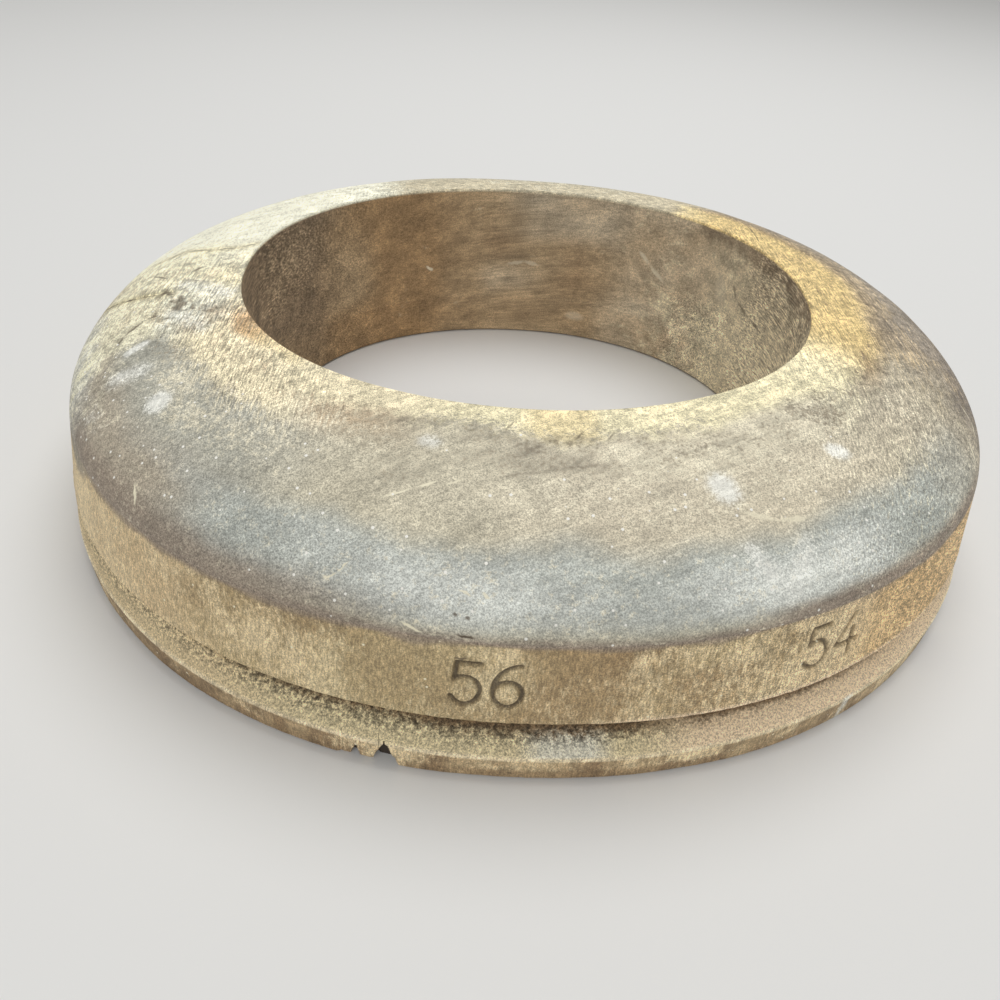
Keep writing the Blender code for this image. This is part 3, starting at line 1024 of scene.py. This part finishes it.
def brim_tones(board):
    """Colours of the brim, wall and bore of an upper board."""
    prepare_edges(board)
    tones = (brim_deep(board), brim_worn(board), brim_share(board))
    tones = put_on(board, ("wall", "under"), tones, wall_tones(board))
    tones = put_on(board, ("bore",), tones, bore_tones(board))
    brim = board.within("brim", "rim")
    # Real dirt on the brim, and the stamped strokes with their painted shade
    dirt = np.maximum(board.marks, brim_dirt(board) * brim)
    return named_tones(board, tones, dirt=dirt, chalk=brim_chalk(board) * brim)


def grain_shares(board):
    """How strongly each pattern of the grain shows: streaks, white flecks, mottle and pits."""
    brim = board.within("brim", "rim")
    bore = board.within("bore")
    wall = board.within("wall")
    bearings = board.bearings
    wrapped = (bearings + 90) % 360 - 90
    x = board.rest[..., 0]
    behind = ease(bearings, 118, 150) * (1 - ease(bearings, 170, 174))
    torn = smudge(board, "brim", ((-174.0, 0.36), (-158.0, 0.10)), 9.0)
    torn += 0.6 * patch(board, (-160, -132), (0.04, 0.36), 6, 0.08)
    smooth = 0.6 * behind + 0.7 * patch(board, (-165, -110), (0.40, OUTER), 8, 0.07)
    streaks = brim * ((1 - ease(x, -75, -35)) * (1 - smooth) + 1.15 * ease(x, 45, 90) + 0.9 * torn)
    streaks += bore * (between(wrapped, 128, 250, 10) + 1.2 * between(wrapped, -40, 20, 6))
    flecks = brim * 0.5 * patch(board, (-172, -50), (0.3, 1.1), 12, 0.12)
    flecks += brim * 0.8 * patch(board, (-162, -140), (0.62, 0.98), 4, 0.08)
    flecks += bore * between(wrapped, 22, 46, 7) * (1 - ease(board.height, 28, 44))
    right_wall = wall * ease(x, -5, 70)
    away_from_marks = ease(mark_distance(board), 0.6, 1.8)
    streaks += wall * ease(x, 80, 95)
    flecks += right_wall * away_from_marks
    calm = patch(board, (-150, -42), (0.20, OUTER), 9, 0.06)
    mottle = brim * (1 - 0.85 * calm) * (1 - 0.8 * behind) + 0.5 * right_wall * away_from_marks
    mottle += 0.5 * board.within("lip")
    pitted = between(bearings, -170, -80, 8) * ease(board.out, 0.08, 0.4)
    shares = {"streaks": streaks, "flecks": flecks, "mottle": mottle}
    shares["pitted"] = pitted * board.within("floor")
    return shares


def lip_tones(board):
    """Painters of the deep and the worn tone of a bottom board, and its worn share, with the lip laid."""
    deep = Painter(board, LIP_TAN)
    worn = Painter(board, TAN_LIGHT)
    bearings = board.bearings
    share = 0.42 + 0.34 * noise(board.rest, (13, 13, 7), 61) + 0.34 * rough_noise(board.rest, (5, 5, 8), 64)
    deep.lay(LIP_BROWN, 0.44 + 1.1 * noise(board.rest, (5, 5, 14), 62))
    band = between(bearings, -100, -74, 4) * (1 - ease(board.height, 2.5, 5.0))
    # Painted shade along the foot of the lip, where it meets the floor
    low_edge = 1 - ease(board.height, 1.0, 4.5)
    deep.lay(LIP_BROWN, np.maximum(0.7 * band, 0.45 * low_edge))
    dark_left = between(bearings, -150, -110, 5) * (0.6 + 0.5 * noise(board.rest, 9, 65))
    deep.lay(LIP_BROWN * 0.85, dark_left)
    share = share * (1 - 0.6 * band) * (1 - 0.6 * dark_left) * (1 - 0.4 * low_edge)
    lip = board.within("lip")
    edge = ease(board.height, LIP_HEIGHT - 1.2, LIP_HEIGHT - 0.6) * lip
    x = board.rest[..., 0] - BASE_JOINT_RIGHT
    pale_wedge = between(x, 0.0, 1.2 + 1.8 * board.height / LIP_HEIGHT, 0.3) * lip * (board.rest[..., 1] < 0)
    for paint in (deep, worn):
        paint.lay(LIP_EDGE, edge * (0.8 + 0.3 * noise(board.rest, 3, 63)))
        paint.lay(CHALK_WHITE_AND_GLINT, 0.6 * pale_wedge)
    return deep, worn, share


def lay_groove(board, deep, worn):
    """Lay the fuzzy groove floor, with painted shade on it under the wall."""
    bearings = board.bearings
    floor_rows = board.within("floor")
    deep.lay(FUZZ * 0.66, floor_rows)
    worn.lay(FUZZ, floor_rows)
    pink = ease(bearings, -84, -76)
    crumbly = floor_rows * (1 - pink) * (1 - ease(np.abs(bearings), 112, 126))
    shadow = floor_rows * pink * (1 - ease(bearings, -62, -46))
    for paint in (deep, worn):
        paint.lay(PINKISH * 1.08, floor_rows * pink * 0.8)
        paint.lay(TAN_WARM, floor_rows * between(bearings, -170, -117.5, 7.5) * 0.5)
        paint.lay(CHALK_WHITE_AND_GLINT * 0.97, floor_rows * between(bearings, -92, -86, 1.5) * 0.55)
    # Painted shade: the floor darkens under the overhanging wall, over its crumbly part and its pink part
    edge_of_dark = board.out + 0.10 * between(bearings, -101, -79, 3)
    edge_of_dark = edge_of_dark + 0.07 * rough_noise(board.rest, 1.4, 66)
    shade_under_wall = ease(edge_of_dark, 0.36, 0.56)
    deep.lay(LIP_BROWN * 0.55, np.maximum(shade_under_wall * crumbly, ease(edge_of_dark, 0.40, 0.56) * shadow))
    worn_shade_under_wall = np.maximum(ease(edge_of_dark, 0.46, 0.68) * crumbly, ease(board.out, 0.46, 0.6) * shadow)
    worn.lay(LIP_BROWN * 0.9, worn_shade_under_wall)


def base_tones(board):
    """Colours of a bottom board."""
    prepare_edges(board)
    deep, worn, share = lip_tones(board)
    lay_groove(board, deep, worn)
    share = np.where(board.within("floor") > 0, 0.5 + 0.15 * rough_noise(board.rest, 4, 67), share)
    tones = put_on(board, ("bore",), (deep.tone, worn.tone, share), bore_tones(board))
    # The lip's wedge and notch carry painted shade
    return named_tones(board, tones, dirt=board.marks)


class WoodMaterial:
    """Builds the node tree of one wood surface, step by step: its tone, then its relief."""

    def __init__(self, name):
        self.material = bpy.data.materials.new(name)
        self.material.use_nodes = True
        self.tree = self.material.node_tree
        self.place = self.add("TexCoord", {}, "Object")
        self.wavering = None
        self.tone = None
        self.normal = None

    def fill(self, node, inputs):
        """Set inputs of a node, found by name or number, to a value, or link an output to them."""
        for socket, value in inputs.items():
            if isinstance(value, bpy.types.NodeSocket):
                self.tree.links.new(value, node.inputs[socket])
            else:
                node.inputs[socket].default_value = value

    def add(self, kind, inputs, output=0, operation=None):
        """Add a node with these inputs and return one of its outputs."""
        node = self.tree.nodes.new("ShaderNode" + kind)
        if operation is not None:
            node.operation = operation
        self.fill(node, inputs)
        return node.outputs[output]

    def attribute(self, name, output="Fac"):
        value = self.add("Attribute", {}, output)
        value.node.attribute_name = name
        return value

    def mapped(self, source, middle, turn, scale):
        """A place measured from a middle, along turned and stretched axes."""
        place = self.add("Mapping", {"Vector": source, "Location": middle, "Rotation": turn, "Scale": scale})
        place.node.vector_type = "TEXTURE"
        return place

    def along(self, direction, stretch):
        """The place, drawn out along a direction."""
        x, y, z = direction
        turn = (0.0, -math.atan2(z, math.hypot(x, y)), math.atan2(y, x))
        return self.mapped(self.place, (0.0, 0.0, 0.0), turn, (stretch, 1.0, 1.0))

    def noise(self, size, detail=3.0, roughness=0.5, vector=None, distortion=0.0, output="Fac"):
        """Noise with lumps of this size in millimetres, about 0.5 on average."""
        inputs = {"Vector": vector or self.place, "Scale": 1000.0 / size, "Detail": detail}
        inputs.update({"Roughness": roughness, "Distortion": distortion})
        return self.add("TexNoise", inputs, output)

    def spots(self, spacing, radius, share):
        """Small round spots: 1 inside. Only this share of the places has one."""
        distance = self.add("TexVoronoi", {"Vector": self.place, "Scale": 1000.0 / spacing}, "Distance")
        near = self.step(distance, 0.7 * radius / spacing, radius / spacing, 1.0, 0.0)
        drawn = self.add("SeparateColor", {0: distance.node.outputs["Color"]})
        return self.math("MULTIPLY", near, self.math("LESS_THAN", drawn, share))

    def vector(self, operation, *values, output="Vector"):
        return self.add("VectorMath", dict(enumerate(values)), output, operation)

    def near(self, region, places, width):
        """1 on a line over a surface, fading to 0 this many millimetres away and at its tapered ends."""
        if self.wavering is None:
            shift = self.vector("SUBTRACT", self.noise(2.2, 2.0, 0.6, output="Color"), (0.5, 0.5, 0.5))
            self.wavering = self.vector("MULTIPLY_ADD", shift, (WAVER, WAVER, WAVER), self.place)
        nearest = None
        for first, second in zip(places, places[1:]):
            start = place_on(region, *first)
            stop = place_on(region, *second)
            length = np.linalg.norm(stop - start)
            forward = (stop - start) / length
            side = np.cross(normal_on(region, *first), forward)
            side = side / np.linalg.norm(side)
            turn = Matrix(np.stack([forward, side, np.cross(forward, side)], 1).tolist()).to_euler()
            scale = ((length / 2 + width) * METRES, width * METRES, 3 * METRES)
            local = self.mapped(self.wavering, tuple((start + stop) / 2 * METRES), tuple(turn), scale)
            gap = self.vector("LENGTH", local, output="Value")
            nearest = gap if nearest is None else self.math("MINIMUM", nearest, gap)
        return self.step(nearest, 0.35, 1.0, 1.0, 0.0)

    def lay_marks(self, region, marks, laid):
        """Lay a colour along marks, each given as a line, its half width and its strength."""
        total = None
        for places, width, strength in marks:
            one = self.math("MULTIPLY", self.near(region, places, width), strength)
            total = one if total is None else self.math("MAXIMUM", total, one)
        self.lay(total, laid)

    def step(self, value, low, high, to_low=0.0, to_high=1.0):
        """A soft step between two levels."""
        inputs = {"Value": value, "From Min": low, "From Max": high, "To Min": to_low, "To Max": to_high}
        result = self.add("MapRange", inputs)
        result.node.interpolation_type = "SMOOTHSTEP"
        return result

    def math(self, operation, first, second=0.5, third=0.5):
        return self.add("Math", {0: first, 1: second, 2: third}, 0, operation)

    def mix(self, factor, first, second):
        """A mix of two colours or values."""
        node = self.tree.nodes.new("ShaderNodeMix")
        node.data_type = "RGBA"
        self.fill(node, {0: factor, 6: first, 7: second})
        return node.outputs[2]

    def wear(self, islands, reach=2.4):
        """Begin with the deep tone and the worn tone in islands on it. A low reach makes them soft."""
        wanted = self.math("MULTIPLY_ADD", islands, reach, -reach / 2)
        wanted = self.math("ADD", self.attribute("worn"), wanted)
        deep = self.attribute("deep_tone", "Color")
        self.tone = self.mix(self.step(wanted, 0.24, 0.76), deep, self.attribute("worn_tone", "Color"))

    def lay(self, amount, laid):
        """Lay a colour over the tone."""
        self.tone = self.mix(amount, self.tone, laid)

    def lay_grains(self, name, grains, spread, low, high, laid):
        """Lay a colour where an attribute passes two levels, with an edge broken up by the grains."""
        strength = self.math("MULTIPLY_ADD", grains, spread, self.attribute(name))
        self.lay(self.step(strength, spread + low, spread + high, 0.0, 0.8), laid)

    def shade(self, value, half, darkest, lightest, weight=None):
        """Multiply the tone by a level that follows a value this far round 0.5, in full or by a weight."""
        low, high = 0.5 - half, 0.5 + half
        if weight is None:
            level = self.step(value, low, high, darkest, lightest)
        else:
            change = self.step(value, low, high, darkest - 1, lightest - 1)
            level = self.math("MULTIPLY_ADD", change, weight, 1.0)
        self.tone = self.add("VectorMath", {0: self.tone, "Scale": level}, 0, "SCALE")

    def bump(self, height, depth):
        """Raise a fine relief, this many millimetres deep, on what is there already."""
        inputs = {"Distance": depth * METRES, "Height": height}
        if self.normal is not None:
            inputs["Normal"] = self.normal
        self.normal = self.add("Bump", inputs)

    def finish(self, roughness):
        shader = self.tree.nodes["Principled BSDF"]
        self.fill(shader, {"Base Color": self.tone, "Roughness": roughness, "Normal": self.normal})
        return self.material


def brim_material(name, dark, pale):
    """Carved top: speckled end of the fibres, streaks across the block, white flecks and scratches."""
    wood = WoodMaterial(name)
    across = (0.05, 1.0, 0.0)
    streak_share = wood.attribute("streaks")
    streaked_islands = wood.noise(0.85, 5.0, 0.80, wood.along(across, 8.0))
    wood.wear(wood.mix(streak_share, wood.noise(2.2, 6.0, 0.82), streaked_islands))
    wood.shade(wood.noise(13.0, 3.0, 0.6), 0.20, 0.90, 1.08)
    speckle = wood.noise(0.43, 2.0, 0.8)
    coarse = wood.noise(1.1, 2.0, 0.7)
    streaks = wood.noise(0.5, 3.0, 0.75, wood.along(across, 10.0))
    # Chalky white spots and the painted sheen
    wood.lay_grains("chalk", wood.math("ADD", speckle, coarse), 0.7, 0.20, 0.85, CHALK_DUST_AND_SHEEN)
    clots = wood.math("ADD", wood.mix(streak_share, speckle, streaks), coarse)
    wood.lay_grains("dirt", clots, 2.2, 0.40, 0.92, DIRT)
    wood.shade(streaks, 0.16, 0.68, 1.34, streak_share)
    wood.shade(wood.noise(0.9, 3.0, 0.6, wood.along((0.87, 0.5, 0.0), 13.0)), 0.16, 0.90, 1.10)
    wood.shade(wood.noise(4.0, 3.0, 0.6, wood.along((0.93, 0.36, 0.0), 9.0)), 0.16, 0.92, 1.08)
    # Speckle is weaker under the chalky spots and the painted sheen.
    unchalked = wood.math("MULTIPLY_ADD", wood.attribute("chalk"), -0.65, 1.0)
    wood.shade(speckle, 0.20, 0.60, 1.40, wood.math("MULTIPLY_ADD", streak_share, -0.30, unchalked))
    wood.shade(speckle, 0.20, 0.84, 1.16, streak_share)
    wood.shade(coarse, 0.18, 0.92, 1.08)
    wood.shade(wood.noise(2.8, 4.0, 0.75), 0.16, 0.72, 1.23, wood.attribute("mottle"))
    wood.lay_marks("brim", dark, DARK_LINE)
    wood.lay_marks("brim", pale, PALE_LINE)
    wood.lay(wood.spots(3.2, 0.46, wood.attribute("flecks")), BRIM_FLECK)
    wood.bump(speckle, 0.10)
    wood.bump(coarse, 0.15)
    return wood.finish(0.62)


def wall_material(name):
    """Side wall and lip: fine upright tool streaks over the tan wood."""
    wood = WoodMaterial(name)
    upwards = (0.0, 0.0, 1.0)
    wood.wear(wood.noise(1.5, 6.0, 0.85, wood.along(upwards, 2.2)), 2.0)
    upright = wood.noise(0.5, 2.0, 0.7, wood.along(upwards, 6.0))
    wood.shade(upright, 0.18, 0.76, 1.26)
    slanting = wood.noise(0.8, 3.0, 0.7, wood.along((0.6, 0.6, -0.5), 7.0))
    wood.shade(slanting, 0.18, 0.62, 1.38, wood.attribute("streaks"))
    speckle = wood.noise(0.43, 2.0, 0.8)
    wood.shade(speckle, 0.20, 0.66, 1.34)
    wood.shade(speckle, 0.16, 0.74, 1.26, wood.attribute("flecks"))
    mottle = wood.noise(2.6, 4.0, 0.75)
    wood.shade(mottle, 0.16, 0.90, 1.10)
    wood.shade(mottle, 0.16, 0.72, 1.28, wood.attribute("mottle"))
    # Painted shade in the stamped strokes and in the lip's broken wedge and notch
    wood.lay(wood.math("MULTIPLY", wood.attribute("dirt"), 0.8), CUT_SHADE)
    wood.lay(wood.spots(3.6, 0.38, 0.3), WALL_FLECK)
    wood.lay_marks("wall", WALL_SCRATCHES, WALL_LINE)
    wood.bump(speckle, 0.10)
    wood.bump(upright, 0.12)
    return wood.finish(0.70)


def bore_material(name):
    """Inside of the opening: long grain along the back, speckled and torn end grain at the ends."""
    wood = WoodMaterial(name)
    streak_share = wood.attribute("streaks")
    torn = wood.noise(0.6, 4.0, 0.75, wood.along((0.0, 1.0, 0.0), 12.0))
    long_grained = wood.noise(3.4, 6.0, 0.66, wood.along((1.0, 0.0, 0.1), 2.0))
    wood.wear(wood.mix(streak_share, long_grained, torn), 1.8)
    wood.shade(wood.noise(9.0, 3.0, 0.6), 0.20, 0.86, 1.14)
    grain = wood.noise(0.9, 4.0, 0.7, wood.along((1.0, -0.05, 0.12), 14.0))
    wood.shade(grain, 0.18, 0.80, 1.20)
    wood.shade(wood.noise(5.0, 2.0, 0.5, wood.along((1.0, -0.05, 0.16), 6.0)), 0.16, 0.86, 1.14)
    wood.shade(torn, 0.16, 0.62, 1.40, streak_share)
    curls = wood.noise(1.0, 2.0, 0.6, distortion=2.2)
    wood.shade(curls, 0.14, 0.46, 1.40, wood.attribute("flecks"))
    wood.shade(wood.noise(0.5, 2.0, 0.8), 0.18, 0.72, 1.28)
    wood.lay_marks("bore", BORE_CRACKS, DARK_LINE)
    wood.lay_marks("bore", BORE_SCRATCHES, BORE_LINE)
    wood.bump(grain, 0.12)
    wood.bump(curls, 0.12)
    return wood.finish(0.75)


def rough_material(name):
    """Groove floor and sawn faces: fuzzy end grain with dark pits."""
    wood = WoodMaterial(name)
    wood.wear(wood.noise(1.2, 4.0, 0.85))
    speckle = wood.noise(0.5, 3.0, 0.8)
    wood.shade(speckle, 0.18, 0.52, 1.46)
    pits = wood.noise(1.25, 3.0, 0.8)
    wood.shade(pits, 0.12, 0.36, 1.36, wood.attribute("pitted"))
    # Real dirt, and painted shade on the sawn end beside the lip's broken wedge
    wood.lay(wood.attribute("dirt"), ROUGH_DIRT_AND_SHADE)
    wood.bump(speckle, 0.25)
    wood.bump(pits, 0.35)
    return wood.finish(0.82)


def upper_materials():
    """Brim, wall, bore and sawn faces of the upper layer."""
    return [
        brim_material("brim_wood", DARK_SCRATCHES, PALE_SCRATCHES),
        wall_material("wall_wood"),
        bore_material("bore_wood"),
        rough_material("sawn_wood"),
        brim_material("left_end_wood", LEFT_DARK_SCRATCHES, LEFT_PALE_SCRATCHES),
    ]


def base_materials():
    """Groove floor, lip, bore and sawn faces of the bottom layer."""
    return [
        rough_material("groove_wood"),
        wall_material("lip_wood"),
        bore_material("base_bore_wood"),
        rough_material("base_sawn_wood"),
    ]


def upper_boards():
    """The back and front boards of the carved brim."""
    materials = upper_materials()
    high_y = BRIM_JOINT_Y + HALF_GAP
    low_y = BRIM_JOINT_Y - HALF_GAP

    def back_ends(row):
        turn = turn_at_y(row, high_y)
        return turn, math.pi - turn

    def front_ends(row):
        turn = turn_at_y(row, low_y)
        return math.pi - turn, 2 * math.pi + turn

    dense = [(-96.3, 4.9, 0.28), (-62.3, 6.0, 0.28), (-169, 11, 0.6)]
    back = Board(brim_section(8), back_ends, 1.0, [], 1)
    front = Board(brim_section(44), front_ends, 1.6, dense, 1)
    plans = ((back, "brim_board_back", "pale_wood"), (front, "brim_board_front", "grey_wood"))
    for board, name, slot in plans:
        carve_brim(board)
        cover(board, name + "_worn", name, materials, brim_tones(board))


def base_boards():
    """The four boards of the bottom layer."""
    materials = base_materials()
    gap = HALF_GAP

    def left_ends(row):
        turn = turn_at_x(row, BASE_JOINT_LEFT - gap)
        return turn, 2 * math.pi - turn

    def right_ends(row):
        turn = turn_at_x(row, BASE_JOINT_RIGHT + gap)
        return -turn, turn

    def back_ends(row):
        return turn_at_x(row, BASE_JOINT_RIGHT - gap), turn_at_x(row, BASE_JOINT_LEFT + gap)

    def front_ends(row):
        right, left = back_ends(row)
        return 2 * math.pi - left, 2 * math.pi - right

    plans = (
        ("base_board_left", "tan_wood", left_ends, 0.8, 26),
        ("base_board_front", "warm_wood", front_ends, 0.42, 34),
        ("base_board_right", "brown_wood", right_ends, 1.0, 14),
        ("base_board_back", "dark_wood", back_ends, 1.6, 10),
    )
    for name, slot, ends_of_row, spacing, floor_rows in plans:
        board = Board(base_section(floor_rows), ends_of_row, spacing, [(-105, 4, 0.25)], 0)
        carve_base(board)
        cover(board, name + "_worn", name, materials, base_tones(board))


def stand(name, data, axes, place):
    """Put a camera or a lamp at a place, with its own x, y and z axes along these directions."""
    holder = bpy.data.objects.new(name, data)
    turned = np.eye(4)
    turned[:3, :3] = np.transpose(axes)
    turned[:3, 3] = place
    holder.matrix_world = Matrix(turned.tolist())
    bpy.context.scene.collection.objects.link(holder)
    return holder


def camera():
    """The camera where the photograph was taken from."""
    lens = bpy.data.cameras.new("camera")
    lens.lens = 27.703
    lens.sensor_width = 36.0
    lens.sensor_fit = "HORIZONTAL"
    lens.clip_start = 0.01
    right = np.array([0.99786, -0.0334, 0.05623])
    down = np.array([0.02085, -0.65249, -0.75751])
    ahead = np.array([0.06199, 0.75707, -0.65039])
    place = (-0.0266, -0.2479, 0.1794)
    bpy.context.scene.camera = stand("camera", lens, (right, -down, -ahead), place)


def floor():
    """A plain pale floor."""
    mesh = bpy.data.meshes.new("floor")
    half = 6.0
    height = -0.0003
    corners = [(-half, -half, height), (half, -half, height), (half, half, height), (-half, half, height)]
    mesh.from_pydata(corners, [], [(0, 1, 2, 3)])
    material = bpy.data.materials.new("floor_pale")
    material.use_nodes = True
    shader = material.node_tree.nodes["Principled BSDF"]
    shader.inputs["Base Color"].default_value = (0.80, 0.80, 0.79, 1.0)
    shader.inputs["Roughness"].default_value = 0.9
    shader.inputs["Specular IOR Level"].default_value = 0.2
    mesh.materials.append(material)
    plane = bpy.data.objects.new("floor", mesh)
    bpy.context.scene.collection.objects.link(plane)


def lamp(name, place, aim, size, power):
    """A large soft lamp that faces a point."""
    light = bpy.data.lights.new(name, "AREA")
    light.shape = "DISK"
    light.size = size
    light.energy = power
    from_aim = np.array(place, float) - np.array(aim, float)
    back = from_aim / np.linalg.norm(from_aim)
    side = np.cross((0.0, 0.0, 1.0), back)
    side = side / np.linalg.norm(side)
    stand(name, light, (side, np.cross(back, side), back), place)


def studio():
    """Soft light all round, with a large lamp above and behind and a weaker one in front."""
    world = bpy.data.worlds.new("studio")
    bpy.context.scene.world = world
    world.use_nodes = True
    background = world.node_tree.nodes["Background"]
    background.inputs["Color"].default_value = (0.99, 0.98, 0.95, 1.0)
    background.inputs["Strength"].default_value = 0.36
    lamp("lamp_above", (0.2, 0.5, 1.5), (0.0, 0.0, 0.0), 1.2, 13.5)
    lamp("lamp_front", (-0.3, -1.2, 1.1), (0.0, 0.0, 0.0), 1.0, 5.5)
    bpy.context.scene.view_settings.view_transform = "Standard"


upper_boards()
base_boards()
floor()
studio()
camera()
